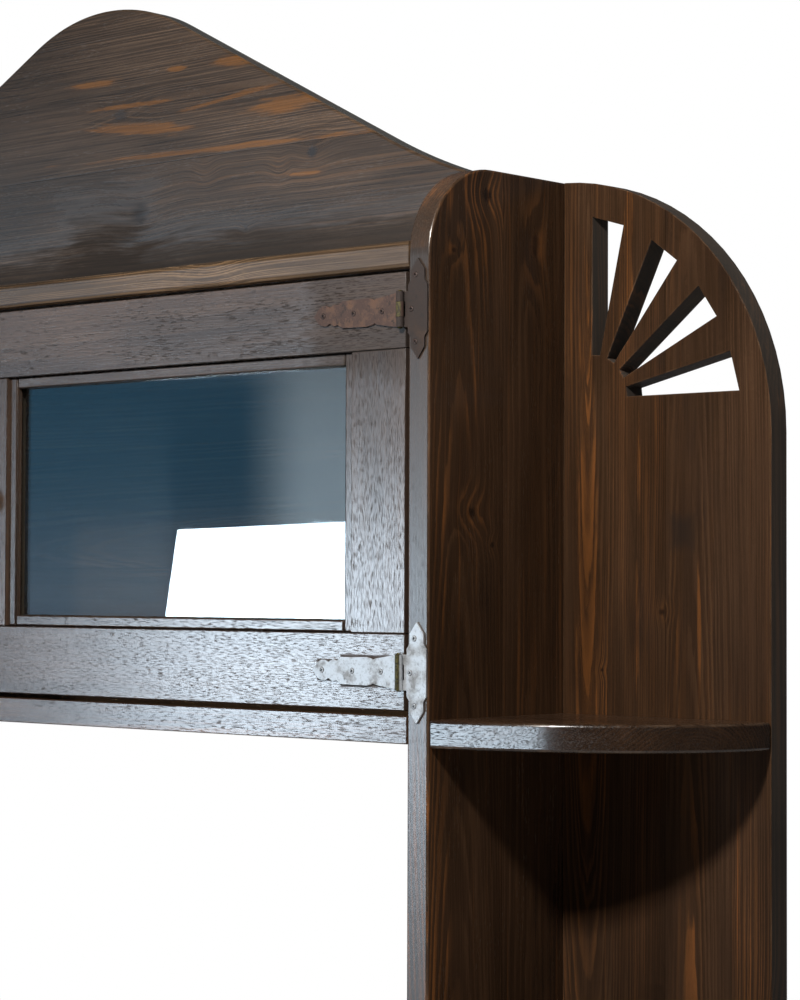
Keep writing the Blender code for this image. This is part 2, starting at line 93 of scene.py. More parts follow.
class WallUnitWood(bpy.types.PropertyGroup):
    """Colours and sizes of the stained boards."""

    carcass_ground: colour_prop("Carcass ground", "Stain on the carcass's early wood", 46, 32, 22)
    carcass_mid: colour_prop("Carcass streaks", "Paler streaks in the carcass's stain", 78, 56, 39)
    carcass_amber: colour_prop("Carcass amber", "Late wood that took little stain", 113, 70, 36)
    crest_ground: colour_prop("Crest ground", "Stain on the crest's early wood", 43, 35, 29)
    crest_mid: colour_prop("Crest streaks", "Paler streaks in the crest's stain", 111, 91, 74)
    crest_amber: colour_prop("Crest amber", "Flames of late wood on the crest", 128, 84, 38)
    # The top's paler colours are partly a thinner stain and partly a painted sheen on its front edge.
    top_ground: colour_prop("Top ground", "Thin stain on the cabinet's top", 84, 66, 50)
    top_mid: colour_prop("Top streaks", "Paler streaks in the top's stain", 160, 130, 98)
    top_amber: colour_prop("Top amber", "Warm late wood on the top", 172, 131, 90)
    door_ground: colour_prop("Door ground", "Stain on the doors' frames", 62, 48, 40)
    door_mid: colour_prop("Door streaks", "Paler streaks in the doors' stain", 99, 81, 68)
    door_amber: colour_prop("Door amber", "Warm late wood on the doors", 122, 93, 68)
    knot: colour_prop("Knot", "Heart of a knot", 24, 17, 14)
    blot: colour_prop("Blot", "Dark blots in the stain", 28, 26, 26)
    # This colour also paints shade under the crest, below the wing shelves and along the lower straps.
    soil: colour_prop("Soil", "Grime round hinges, under the crest and on low boards", 34, 29, 26)
    # Dust also stands for a painted sheen on the uprights' front edges and the crest's top edge.
    dust: colour_prop("Dust", "Dull grey of sawn edges", 96, 98, 95)
    worn: colour_prop("Worn arris", "Wood where the stain is rubbed off an edge", 122, 100, 80)
    board_ease: length_prop("Board edge", "Rounding of the boards' edges", 0.0026)
    crest_ease: length_prop("Crest edge", "Rounding of the crest's and wings' edges", 0.0036)
    door_ease: length_prop("Door edge", "Rounding of the door frames' edges", 0.0012)
    top_ease: length_prop("Top edge", "Rounding of the cabinet top's edges", 0.0060)
    bead_ease: length_prop("Bead edge", "Rounding of the glazing beads", 0.0026)
    strip_ease: length_prop("Strip edge", "Rounding of the strips inside the cabinet", 0.0020)
    back_ease: length_prop("Back edge", "Rounding of the cabinet's back", 0.0010)
    gloss: number_prop(
        "Varnish roughness", "Roughness of the satin varnish", 0.15, max=1.0, subtype="FACTOR"
    )


class WallUnitHardware(bpy.types.PropertyGroup):
    """Colours and sizes of the metal and the glass."""

    # The lower hinges' bright plate is partly worn zinc and partly a painted sheen.
    zinc: colour_prop("Zinc", "Worn bright plate of the lower hinges", 188, 192, 196)
    zinc_grime: colour_prop("Zinc grime", "Dirt in the worn plate", 62, 60, 56)
    # The upper hinges' brown plates and leaves are partly tarnish and rust, partly painted shade.
    tarnish: colour_prop("Tarnish", "Brown plate of the upper hinges", 68, 50, 43)
    rust: colour_prop("Rust", "Rust on the upper hinges", 92, 69, 56)
    leaf_brown: colour_prop("Leaf brown", "Brown plate of the upper frame leaves", 42, 32, 28)
    leaf_rust: colour_prop("Leaf rust", "Rust on the upper frame leaves", 66, 53, 46)
    brass: colour_prop("Brass", "Pin and barrel", 84, 76, 34)
    brass_grime: colour_prop("Brass grime", "Dirt on the pin and barrel", 34, 32, 18)
    iron: colour_prop("Iron", "Knobs and catches", 42, 40, 40)
    iron_rust: colour_prop("Iron rust", "Rust on the knobs and catches", 70, 56, 46)
    glass: colour_prop("Glass", "Tint of the panes", 232, 242, 244)
    leaf_ease: length_prop("Leaf edge", "Rounding of the hinge leaves", 0.0007)
    strike_ease: length_prop("Strike edge", "Rounding of the strike plates", 0.0003)
    catch_ease: length_prop("Catch edge", "Rounding of the catches", 0.0008)
    screw_radius: length_prop("Screw head", "Radius of a screw's head", 0.0035)
    screw_height: length_prop("Screw rise", "Height of a screw's head above the leaf", 0.0011)
    recess_width: length_prop("Screw recess", "Width of the cross recess", 0.0012)


class WallUnitStage(bpy.types.PropertyGroup):
    """Camera, floor and light."""

    lens: number_prop("Lens", "Focal length", 97.2, unit="CAMERA")
    key_power: number_prop("Key light", "Power of the lamp in front and above", 66.0, unit="POWER")
    fill_power: number_prop("Fill light", "Power of the low lamp in front of the base", 9.0, unit="POWER")
    sheen: number_prop("Window", "Brightness of the window that varnish and glass reflect", 35.0)
    floor_radius: length_prop("Floor radius", "Reach of the floor", 4.5)
    floor: colour_prop("Floor", "Pale floor", 232, 231, 229)
    ambient: colour_prop("Ambient", "Light from all around", 66, 70, 76)
    left_light: colour_prop("Left light", "Light from the left and behind", 214, 216, 220)
    room: colour_prop("Room", "What gloss sees at the front and left", 216, 238, 255)
    upper_room: colour_prop("Upper room", "What gloss sees higher up", 72, 74, 78)
    blue_room: colour_prop("Shaded room", "The darker corner that the panes mirror", 104, 166, 206)
    low_room: colour_prop("Low room", "The paler foot of the darker corner", 180, 212, 244)
    dusk: colour_prop("Dusk", "What gloss sees at the right and behind", 58, 58, 60)


# Shader building


class Wire:
    """A shader socket for use in Python expressions, which adds nodes to its own tree."""

    def __init__(self, tree, socket=None):
        self.tree = tree
        self.socket = socket

    def node(self, kind, settings=None, inputs=None, output=0):
        """Adds a node: its settings first, then the values or links of its sockets."""
        made = self.tree.nodes.new(kind)
        for name, value in (settings or {}).items():
            setattr(made, name, value)
        for name, value in (inputs or {}).items():
            if isinstance(value, Wire):
                self.tree.links.new(value.socket, made.inputs[name])
            else:
                made.inputs[name].default_value = value
        return Wire(self.tree, made.outputs[output] if len(made.outputs) else None)

    def output(self, name):
        """Another output of the node that this socket belongs to."""
        return Wire(self.tree, self.socket.node.outputs[name])

    def maths(self, operation, *values):
        return self.node("ShaderNodeMath", {"operation": operation}, dict(enumerate(values)))

    def __add__(self, other):
        return self.maths("ADD", self, other)

    def __radd__(self, other):
        return self.maths("ADD", other, self)

    def __sub__(self, other):
        return self.maths("SUBTRACT", self, other)

    def __rsub__(self, other):
        return self.maths("SUBTRACT", other, self)

    def __mul__(self, other):
        return self.maths("MULTIPLY", self, other)

    def __rmul__(self, other):
        return self.maths("MULTIPLY", other, self)

    def __truediv__(self, other):
        return self.maths("DIVIDE", self, other)

    def __pow__(self, other):
        return self.maths("POWER", self, other)

    def step(self, low, high):
        """A smooth step of this value from nought at low to one at high."""
        return self.node(
            "ShaderNodeMapRange",
            {"interpolation_type": "SMOOTHSTEP"},
            {"Value": self, "From Min": low, "From Max": high},
        )

    def least(self, other):
        return self.maths("MINIMUM", self, other)

    def most(self, other):
        return self.maths("MAXIMUM", self, other)

    def size(self):
        """This value without its sign."""
        return self.maths("ABSOLUTE", self)

    def hump(self):
        """A bell curve, one at nought and close to nought at two."""
        return self.maths("EXPONENT", self * self * -1.0)

    def away(self, point):
        """The distance of this place from a point."""
        settings = {"operation": "DISTANCE"}
        return self.node("ShaderNodeVectorMath", settings, {0: self, 1: point}, output="Value")

    def dot(self, axis):
        """How far this direction goes along an axis."""
        settings = {"operation": "DOT_PRODUCT"}
        return self.node("ShaderNodeVectorMath", settings, {0: self, 1: axis}, output="Value")

    def attribute(self, name, output="Vector"):
        """What a mesh carries under a name."""
        return self.node("ShaderNodeAttribute", {"attribute_name": name}, output=output)

    def parts(self):
        """The three numbers in a vector or colour."""
        split = self.node("ShaderNodeSeparateXYZ", None, {0: self})
        return [split.output(name) for name in "XYZ"]

    def join(self, x, y, z):
        return self.node("ShaderNodeCombineXYZ", None, {0: x, 1: y, 2: z})

    def noise(self, scale, detail=2.0, roughness=0.5):
        """Noise over this vector, with a scale for each of its axes."""
        at = self.node("ShaderNodeMapping", None, {"Vector": self, "Scale": scale})
        sockets = {"Vector": at, "Scale": 1.0, "Detail": detail, "Roughness": roughness}
        return self.node("ShaderNodeTexNoise", None, sockets)

    def mix(self, factor, one, other):
        """A mix of two colours."""
        settings = {"data_type": "RGBA", "clamp_factor": True}
        return self.node("ShaderNodeMix", settings, {0: factor, 6: one, 7: other}, output=2)

    def scaled(self, amount):
        """This colour or vector, times a number."""
        return self.node("ShaderNodeVectorMath", {"operation": "SCALE"}, {0: self, "Scale": amount})


def opaque(colour):
    """A colour with its fourth value."""
    return (*colour, 1.0)


def new_finish(name):
    """A new material, its nodes cleared, with a wire to build on."""
    material = bpy.data.materials.new(name)
    material.use_nodes = True
    material.node_tree.nodes.clear()
    return material, Wire(material.node_tree)


def close_finish(web, shader):
    """Ends a material with its shader."""
    web.node("ShaderNodeOutputMaterial", None, {"Surface": shader})


def once(name, make, *values, **named):
    """The material of that name, made the first time it is asked for."""
    return bpy.data.materials.get(name) or make(name, *values, **named)


def stained_wood(
    name, order, ground, mid, amber, ring=0.0042, lines=0.40, shine=0.5,
    knots=(), flames=(), swirls=(), solid=0.45, heart=None, soil=(),
):
    """Stained and varnished softwood, patterned in each board's own grain directions.

    The order starts with the axes along and across the grain. Ring is a year's width, and lines how pale
    its late wood is. Knots are places with a radius, and swirls the same without a dark heart. Flames are
    places along and across the grain, with half a length, half a width and a rise, and solid is how much
    of a flame is plain amber. The heart is the pith of a board's first stave: its place across, its depth
    and its lean. Soil is a list of darker patches, some grime and some painted shade: middle, half sizes,
    softness and strength.
    """
    wood = bpy.context.scene.wall_unit_wood
    material, web = new_finish(name)
    along, across, depth = web.attribute("grain").parts()
    seed, stave, tone = web.attribute("board").parts()
    arris, fire, open_pores = web.attribute("figure").parts()
    dusty = web.attribute("dusty", "Fac")
    place = web.node("ShaderNodeTexCoord", output="Object")
    ways = dict(zip("xyz", place.parts()))
    run, width = ways[order[0]], ways[order[1]]

    # Glued staves, each cut from its own log
    plank = (across / stave).maths("FLOOR", across / stave)
    draw = web.join(plank, seed, 0.0)
    chance = web.node("ShaderNodeTexWhiteNoise", {"noise_dimensions": "2D"}, {"Vector": draw}, "Color")
    chance_a, chance_b, chance_c = chance.parts()
    inside = across - (plank + 0.5) * stave
    start, row, layer = along + seed * 1.7 + chance_a * 9.0, inside + chance_b * 5.0, depth + chance_c * 3.0
    log = web.join(start, row, layer)

    # Knots, and the swell of the grain round them
    cells = web.node("ShaderNodeMapping", None, {"Vector": log, "Scale": (2.6, 6.2, 0.0)})
    sockets = {"Vector": cells, "Scale": 1.0, "Randomness": 0.85}
    cell = web.node("ShaderNodeTexVoronoi", {"voronoi_dimensions": "2D"}, sockets)
    pick, size, _ = cell.output("Color").parts()
    away = cell.output("Distance") * 0.19
    none = 1.0 - pick.step(0.80, 0.82)
    share = away / (0.004 + size * 0.007) + none * 9.0
    swell = (away / 0.026 + none * 9.0).hump()
    for *centre, radius in knots:
        gap = place.away(centre)
        share = share.least(gap / radius)
        swell = swell.most((gap / (3.2 * radius)).hump() * min(1.0, radius / 0.009))
    for *centre, radius in swirls:
        swell = swell.most((place.away(centre) / radius).hump())
    knot = 1.0 - (share + (log.noise((45.0, 160.0, 160.0), 3.0, 0.7) - 0.5) * 1.6).step(0.25, 1.25)

    # Fibres that wander, and growth rings about a pith outside the board
    bend = log.noise((0.9, 5.0, 5.0), 2.0) - 0.5
    ripple = log.noise((8.0, 40.0, 40.0), 2.0) - 0.5
    flow = web.join(start, row + bend * 0.020 + ripple * 0.004 + swell * 0.012, layer)
    fibre = flow.noise((9.0, 480.0, 480.0), 3.0, 0.6)
    streak = flow.noise((1.4, 80.0, 80.0), 3.0, 0.6)
    ragged = flow.noise((12.0, 130.0, 130.0), 3.0, 0.65) - 0.5
    off = inside - (chance_b - 0.5) * 0.8 * stave
    deep = depth + 0.018 + chance_c * 0.050 + (chance_a - 0.5) * 0.09 * along
    if heart:
        first = 1.0 - plank.step(0.3, 0.6)
        off = off + (inside - heart[0] - off) * first
        deep = deep + (depth + heart[1] + heart[2] * along - deep) * first
    from_pith = off ** 2.0 + deep ** 2.0
    reach = from_pith.maths("SQRT", from_pith) + bend * 0.018 + ripple * 0.0022
    reach = reach + swell * 0.009 + ragged * 0.0030
    years = reach / ring + (web.join(0.0, chance_a, reach).noise((1.0, 7.0, 85.0), 2.0) - 0.5) * 4.0
    turn = years.maths("FRACT", years)
    late = turn.step(0.35, 0.80) * (1.0 - turn.step(0.88, 1.0))
    clear = log.noise((2.2, 20.0, 20.0), 3.0, 0.6).step(0.36, 0.64)

    # Late wood that took little stain
    warm = late * log.noise((1.3, 14.0, 14.0), 3.0, 0.6).step(0.50, 0.70)
    warm = warm * (0.3 + streak.step(0.40, 0.62) * 0.7)
    thread = flow.noise((1.8, 170.0, 170.0), 3.0, 0.6).step(0.58, 0.76) * clear
    warm = (warm + streak.step(0.64, 0.80) * 0.35 + thread * 0.6 + late * swell * 0.5) * fire
    for at, side, length, half, rise in flames:
        lag = run - at
        u, v = lag / length, (width - side - lag * rise) / half + (streak - 0.5) * 1.6
        glow = 1.15 - (u * u + v * v) ** 0.5 + ragged * 2.4
        warm = warm.most(glow.step(0.0, 0.50) * (solid + late * (0.95 - solid)))

    # Colour
    cloud = log.noise((1.6, 7.0, 7.0), 3.0, 0.6)
    blot = log.noise((2.4, 9.0, 9.0), 4.0, 0.65).step(0.55, 0.80)
    dash = flow.noise((90.0, 950.0, 950.0), 1.5).step(0.550, 0.595) * open_pores
    dash = dash * (0.50 + log.noise((9.0, 40.0, 40.0), 3.0, 0.6).step(0.40, 0.60) * 0.50)
    lift = fibre.step(0.30, 0.72) * 0.30 + streak.step(0.40, 0.75) * 0.24
    lift = lift + late * (clear * 0.9 + 0.1) * lines
    colour = web.mix(lift, opaque(ground), opaque(mid))
    colour = web.mix(warm, colour, web.mix(fibre * 0.2, opaque(amber), opaque(mid)))
    colour = colour.scaled((0.55 + cloud.step(0.28, 0.72) * 0.90) * tone * (0.88 + chance_a * 0.24))
    colour = web.mix(blot * 0.70, colour, opaque(wood.blot))
    colour = web.mix(knot * 0.80, colour, opaque(wood.knot))
    seam = (inside / stave).size().step(0.4945, 0.4985)
    colour = colour.scaled((1.0 - 0.45 * seam) * (1.0 - 0.78 * dash))
    rub = arris * log.noise((16.0, 60.0, 60.0), 3.0, 0.7).step(0.42, 0.66) * 0.30
    colour = web.mix(rub, colour, opaque(wood.worn))
    # Grey between the faces: dust, and on the uprights and the crest partly a painted sheen.
    colour = web.mix(dusty * (0.6 + cloud * 0.8), colour, opaque(wood.dust))
    rough = wood.gloss + fibre * 0.07 + dash * 0.60 + knot * 0.10
    # Darker patches: grime, and painted shade under the crest, below the wing shelves and along the lower
    # straps.
    for (x, z), (half_x, half_z), soft, strength in soil:
        gap = (ways["x"].size() - x).size() - half_x
        gap = gap.most((ways["z"] - z).size() - half_z) + ragged * (1.5 * soft)
        soiled_and_shaded = (1.0 - gap.step(0.0, soft)) * strength
        colour = web.mix(soiled_and_shaded, colour, opaque(wood.soil))
        rough = rough + soiled_and_shaded * 0.90

    height = fibre * 0.45 + late * 0.30 - dash * 0.5 - seam * 0.8 - knot * 0.4
    bump = web.node("ShaderNodeBump", None, {"Strength": 0.35, "Distance": 0.0001, "Height": height})
    sockets = {"Base Color": colour, "Roughness": rough, "Normal": bump, "Specular IOR Level": shine}
    close_finish(web, web.node("ShaderNodeBsdfPrincipled", None, sockets))
    return material


PIT_BLACK = (0.012, 0.010, 0.009, 1.0)
JOINT_BLACK = (0.004, 0.004, 0.003, 1.0)
# Height where the screws turn from bright to brown: partly rust, partly a painted difference in light.
SCREWS_TURN_BROWN_AND_SHADED = (1.45, 1.55)


def worn_plate(name, bright, grime, dirt, metallic, gloss, barrel=None):
    """Metal whose plating is worn, dirty and pitted.

    The barrel is the stretch across the unit, on both sides, where the hinge's joint shows, and its colour.
    """
    material, web = new_finish(name)
    place = web.node("ShaderNodeTexCoord", output="Object")
    patch = place.noise((46.0, 46.0, 46.0), 4.0, 0.65)
    speck = place.noise((420.0, 420.0, 420.0), 3.0, 0.6)
    pit = place.noise((900.0, 900.0, 900.0), 2.0)
    foul = patch.step(0.50, 0.70) * dirt + speck.step(0.56, 0.72) * (0.75 * dirt)
    foul = foul.least(1.0)
    colour = web.mix(foul, opaque(bright), opaque(grime))
    black = place.noise((170.0, 170.0, 170.0), 4.0, 0.7).step(0.54, 0.68) * (0.8 * dirt)
    colour = web.mix(black, colour, PIT_BLACK)
    shine = metallic - foul * 0.45
    if barrel:
        start, end, olive = barrel
        span = place.parts()[0].size()
        blur = 0.0006
        knuckle = span.step(start - blur, start + blur) * (1.0 - span.step(end - blur, end + blur))
        colour = web.mix(knuckle, colour, web.mix(speck.step(0.35, 0.65), opaque(olive), JOINT_BLACK))
        foul = foul.most(span.step(end, end + 0.002) * patch.step(0.40, 0.62) * 0.6)
        colour = web.mix(foul * 0.5, colour, opaque(grime))
    colour = colour.scaled(0.86 + pit * 0.28)
    rough = gloss + foul * 0.30 + pit * 0.10
    height = patch * 0.6 + speck * 0.5 - foul * 0.5
    bump = web.node("ShaderNodeBump", None, {"Strength": 0.35, "Distance": 0.0006, "Height": height})
    sockets = {"Base Color": colour, "Metallic": shine, "Roughness": rough, "Normal": bump}
    close_finish(web, web.node("ShaderNodeBsdfPrincipled", None, sockets))
    return material


def pane_glass():
    """Clear float glass with a little dust."""
    hardware = bpy.context.scene.wall_unit_hardware
    material, web = new_finish("pane_glass")
    place = web.node("ShaderNodeTexCoord", output="Object")
    dust = place.noise((14.0, 14.0, 60.0), 4.0, 0.7).step(0.50, 0.95)
    sockets = {
        "Base Color": opaque(hardware.glass),
        "Roughness": dust * 0.05,
        "Transmission Weight": 1.0,
        "IOR": 1.5,
    }
    glass = web.node("ShaderNodeBsdfPrincipled", None, sockets)
    path = web.node("ShaderNodeLightPath")
    unseen = path.maths("MAXIMUM", path.output("Is Shadow Ray"), path.output("Is Diffuse Ray"))
    clear = web.node("ShaderNodeBsdfTransparent", None, {"Color": opaque(hardware.glass)})
    close_finish(web, web.node("ShaderNodeMixShader", None, {0: unseen, 1: glass, 2: clear}))
    return material


def dulled_steel(name, bright, dull):
    """Screw steel, bright at the lower hinges and brown at the upper ones, with dirt and painted shade in
    its recess
    """
    material, web = new_finish(name)
    place = web.node("ShaderNodeTexCoord", output="Object")
    high = place.parts()[2].step(*SCREWS_TURN_BROWN_AND_SHADED)
    x, y, z = web.attribute("head").parts()
    out = (x * x + y * y).least(1.0)
    # Darker cross recess and rim: dirt, and painted shade in the recess and in the gap round the head.
    recess_and_rim_shade = ((1.0 - out) ** 0.5 - z).step(0.04, 0.16).most(out.step(0.60, 0.86))
    dirt = place.noise((500.0, 500.0, 500.0), 3.0, 0.6)
    colour = web.mix(high, opaque(bright), opaque(dull)).scaled((0.5 + dirt * 0.8) * (1.0 - recess_and_rim_shade * 0.92))
    rough = 0.35 + dirt * 0.25 + recess_and_rim_shade * 0.4
    sockets = {"Base Color": colour, "Metallic": 0.5 - high * 0.3, "Roughness": rough}
    close_finish(web, web.node("ShaderNodeBsdfPrincipled", None, sockets))
    return material


def screw_steel():
    hardware = bpy.context.scene.wall_unit_hardware
    return once("screw_steel", dulled_steel, hardware.zinc, hardware.tarnish)


# Where the figure, the grime and the painted shade lie on the boards, in metres

UPRIGHT_KNOTS = (
    (0.832, -0.0219, 1.8675, 0.009), (0.832, 0.0668, 1.8091, 0.0045), (0.832, -0.0804, 1.7975, 0.004),
    (0.832, -0.0472, 1.4966, 0.0085), (0.832, -0.0112, 1.4589, 0.004),
)
UPRIGHT_SOIL = (((0.816, 0.95), (0.0145, 1.0), 0.0012, 0.075),)
WING_KNOTS = ((0.9796, 0.1212, 1.3816, 0.0045), (0.8914, 0.1212, 1.312, 0.003))
WING_FLAMES = (
    (1.4, 0.868, 0.33, 0.015, 0.0), (1.354, 0.9418, 0.075, 0.0028, 0.0),
    (1.344, 1.0323, 0.095, 0.0026, 0.0), (1.56, 0.945, 0.06, 0.0024, 0.0),
    (1.78, 0.93, 0.11, 0.006, 0.0),
)
WING_HEART = (-0.038, -0.0197, 0.043)
# A small dark spot, and painted shade on the wings below their shelves.
WING_SOIL_AND_SHADE = (((1.008, 1.4745), (0.006, 0.008), 0.022, 0.6), ((0.95, 0.55), (0.35, 0.57), 0.06, 0.18))
CREST_KNOTS = (
    (0.0768, 0.1212, 1.9266, 0.019), (0.4096, 0.1212, 1.9799, 0.01), (0.2872, 0.1212, 1.8903, 0.004),
)
CREST_SWIRLS = ((0.2071, 0.1212, 1.972, 0.022), (0.35, 0.1212, 1.964, 0.02))
CREST_FLAMES = (
    (0.071, 2.049, 0.105, 0.0085, -0.09), (0.255, 2.071, 0.1, 0.0034, 0.085),
    (0.262, 2.119, 0.047, 0.008, -0.05), (0.363, 2.05, 0.072, 0.011, 0.02),
    (0.148, 2.1225, 0.019, 0.004, -0.05), (-0.02, 2.121, 0.05, 0.006, 0.0),
    (0.248, 2.0035, 0.285, 0.0038, -0.0268), (0.057, 2.0825, 0.09, 0.003, -0.026),
    (0.398, 1.953, 0.034, 0.003, -0.046),
)
# Painted shade along the crest's foot above the cabinet top, deepest at its middle.
CREST_SHADE = (((0.0, 1.82), (0.8, 0.035), 0.065, 0.75), ((0.0, 1.86), (0.01, 0.015), 0.12, 0.6))


# Each stain: the part that its colours are named after, the axes of its grain, and its look

STAINS = {
    "carcass_stain": ("carcass", "zyx", {"lines": 0.5, "knots": UPRIGHT_KNOTS, "soil": UPRIGHT_SOIL}),
    "shelf_stain": ("carcass", "zyx", {"lines": 0.5}),
    "inside_stain": ("carcass", "xzy", {"ring": 0.0060, "lines": 0.9, "shine": 0.04}),
    "wing_stain": ("carcass", "zxy", {
        "lines": 0.55, "shine": 0.01, "knots": WING_KNOTS, "flames": WING_FLAMES, "solid": 0.1,
        "heart": WING_HEART, "soil": WING_SOIL_AND_SHADE,
    }),
    "crest_stain": ("crest", "xzy", {
        "ring": 0.0044, "lines": 0.65, "knots": CREST_KNOTS, "flames": CREST_FLAMES,
        "swirls": CREST_SWIRLS, "solid": 0.60, "soil": CREST_SHADE,
    }),
    "top_stain": ("top", "xyz", {"ring": 0.0038, "lines": 0.7, "heart": (0.0, 0.2, 0.0)}),
    "door_stain": ("door", "xzy", {"ring": 0.0036}),
}


def stain(name, **more):
    """One of the stained woods."""
    wood = bpy.context.scene.wall_unit_wood
    part, order, look = STAINS[name]
    colours = [getattr(wood, f"{part}_{layer}") for layer in ("ground", "mid", "amber")]
    return once(name, stained_wood, order, *colours, **look, **more)


def door_wood():
    """The doors' stain, darker round the upper strap; painted shadow and dirt close along the lower one's
    outline
    """
    low_u, high_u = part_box("hinge_strap_right_upper")
    upper, half = (low_u + high_u) / 2, (high_u - low_u) / 2
    pin_low, pin_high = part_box("hinge_pin_right_lower")
    lower = (pin_low + pin_high) / 2
    soil = (
        ((upper.x + 0.012, upper.z), (half.x - 0.010, 0.040), 0.070, 0.40),
        # Painted contact shadow and dirt along the lower strap's outline.
        ((lower.x - 0.047, lower.z), (0.047, 0.0160), 0.0040, 0.60),
        ((lower.x - 0.112, lower.z), (0.020, 0.0105), 0.0040, 0.60),
    )
    return stain("door_stain", soil=soil)


def barrel_zone():
    """Where across the unit the hinges' barrels lie, and their colour."""
    low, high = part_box("hinge_pin_right_lower")
    leaf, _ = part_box("hinge_frame_leaf_right_lower")
    return low.x - 0.0035, max(leaf.x, high.x), bpy.context.scene.wall_unit_hardware.brass


# Each metal: its two colours, then how dirty, how metallic and how rough it is

METALS = {
    "zinc_plate": ("zinc", "zinc_grime", 0.42, 0.45, 0.42),
    "brown_plate": ("tarnish", "rust", 0.9, 0.15, 0.62),
    "brown_leaf": ("leaf_brown", "leaf_rust", 0.8, 0.0, 0.75),
    "brass_barrel": ("brass", "brass_grime", 0.9, 0.85, 0.40),
    "iron_furniture": ("iron", "iron_rust", 0.5, 0.6, 0.45),
}


def metal(name):
    """One of the metals. The hinges' plates show their barrels."""
    hardware = bpy.context.scene.wall_unit_hardware
    bright, grime, *look = METALS[name]
    barrel = barrel_zone() if name.endswith("_plate") else None
    return once(name, worn_plate, getattr(hardware, bright), getattr(hardware, grime), *look, barrel)


# Mesh building


def eased_solid(node, ease, steps=3, butted=None):
    """A copy of a solid with its triangles joined into flats and its outer edges rounded over.

    Edges square to a butted axis stay sharp. Gives the mesh being built and the set of its rounding faces.
    """
    bm = bmesh.new()
    bm.from_mesh(frame["nodes"][node].data)
    bmesh.ops.remove_doubles(bm, verts=bm.verts, dist=1e-5)
    bmesh.ops.dissolve_limit(bm, angle_limit=math.radians(0.4), verts=bm.verts, edges=bm.edges)
    edges = [e for e in bm.edges if e.is_convex and e.calc_face_angle(0.0) > math.radians(35)]
    if butted is not None:
        edges = [e for e in edges if abs(e.verts[0].co[butted] - e.verts[1].co[butted]) > 1e-5]
    made = bmesh.ops.bevel(
        bm, geom=edges, offset=ease, offset_type="OFFSET", segments=steps, profile=0.5,
        affect="EDGES", clamp_overlap=True,
    )
    rounding = set(made["faces"])
    for face in bm.faces:
        face.smooth = True
    for edge in bm.edges:
        if len(edge.link_faces) == 2:
            one, other = (face in rounding for face in edge.link_faces)
            edge.smooth = one == other and edge.calc_face_angle(0.0) < math.radians(40)
    return bm, rounding


def finished(name, mesh, material, body, nodes):
    """Makes a mesh into a piece of the unit that rides on a body and stands for its solids."""
    mesh.materials.clear()
    mesh.materials.append(material)
    piece = bpy.data.objects.new(name, mesh)
    bpy.context.scene.collection.objects.link(piece)
    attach(piece, body)
    if nodes:
        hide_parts(*nodes)
    return piece


def body_of(node):
    """The body that a solid belongs to."""
    bodies = frame["record"]["behaviour"]["bodies"]
    return next(body for body, nodes in bodies.items() if node in nodes)


def add_board(
    node, order, material, ease, stave=0.30, tone=1.0, fire=0.5, pores=0.15,
    front=1.0, rim=1.0, dust=0.0, arris=None, luck=0, butted=False,
):
    """One wooden board: rounded edges, and the attributes that its grain is drawn from.

    The order gives the axes along the grain, across the face and through the board. Front and rim say how
    much paler its front edge is, and all that lies between its two faces, and dust how grey the latter is.
    The paler front is a painted sheen, a rim below one is painted shade, and the grey is partly dust and
    partly a painted sheen. An arris is rubbed pale, or has its tone times the factor given, which paints
    shade on the rounded edges. Luck draws another figure. The ends of a butted board stay sharp.
    """
    low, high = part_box(node)
    a, b, c = ("xyz".index(letter) for letter in order)
    bm, rounding = eased_solid(node, ease, butted=a if butted else None)
    if butted:
        bm.normal_update()
        rounding |= {face for face in bm.faces if abs(face.normal[a]) > 0.99}
    worn = [1.0 if all(face in rounding for face in v.link_faces) else 0.0 for v in bm.verts]
    mesh = bpy.data.meshes.new(f"{node}_board")
    bm.to_mesh(mesh)
    bm.free()
    seed = sum(ord(letter) * (place + 3) for place, letter in enumerate(node)) % 97 / 7.0 + luck
    middle = (low + high) / 2
    grain, board, figure, dusty = [], [], [], []
    for vertex, rub in zip(mesh.vertices, worn):
        grain += [vertex.co[a] - middle[a], vertex.co[b] - low[b], vertex.co[c] - middle[c]]
        # The paler front face is a painted sheen, and rim and arris factors below one are painted shade.
        share = front if vertex.co.y < low.y + ON_FACE else 1.0
        between = abs(vertex.co[c] - middle[c]) < high[c] - middle[c] - ON_FACE
        if between:
            share *= rim
        if rub and arris is not None:
            share *= arris
        dusty.append(dust if between and not rub else 0.0)
        board += [seed, stave, tone * share]
        figure += [rub if arris is None else 0.0, fire, pores]
    for name, values in (("grain", grain), ("board", board), ("figure", figure)):
        mesh.attributes.new(name, "FLOAT_VECTOR", "POINT").data.foreach_set("vector", values)
    mesh.attributes.new("dusty", "FLOAT", "POINT").data.foreach_set("value", dusty)
    return finished(f"{node}_board", mesh, material, body_of(node), [node])


def add_plate(node, material, ease):
    """One metal piece with its edges broken."""
    bm, _ = eased_solid(node, ease, 2)
    mesh = bpy.data.meshes.new(f"{node}_plate")
    bm.to_mesh(mesh)
    bm.free()
    return finished(f"{node}_plate", mesh, material, body_of(node), [node])


# Operators


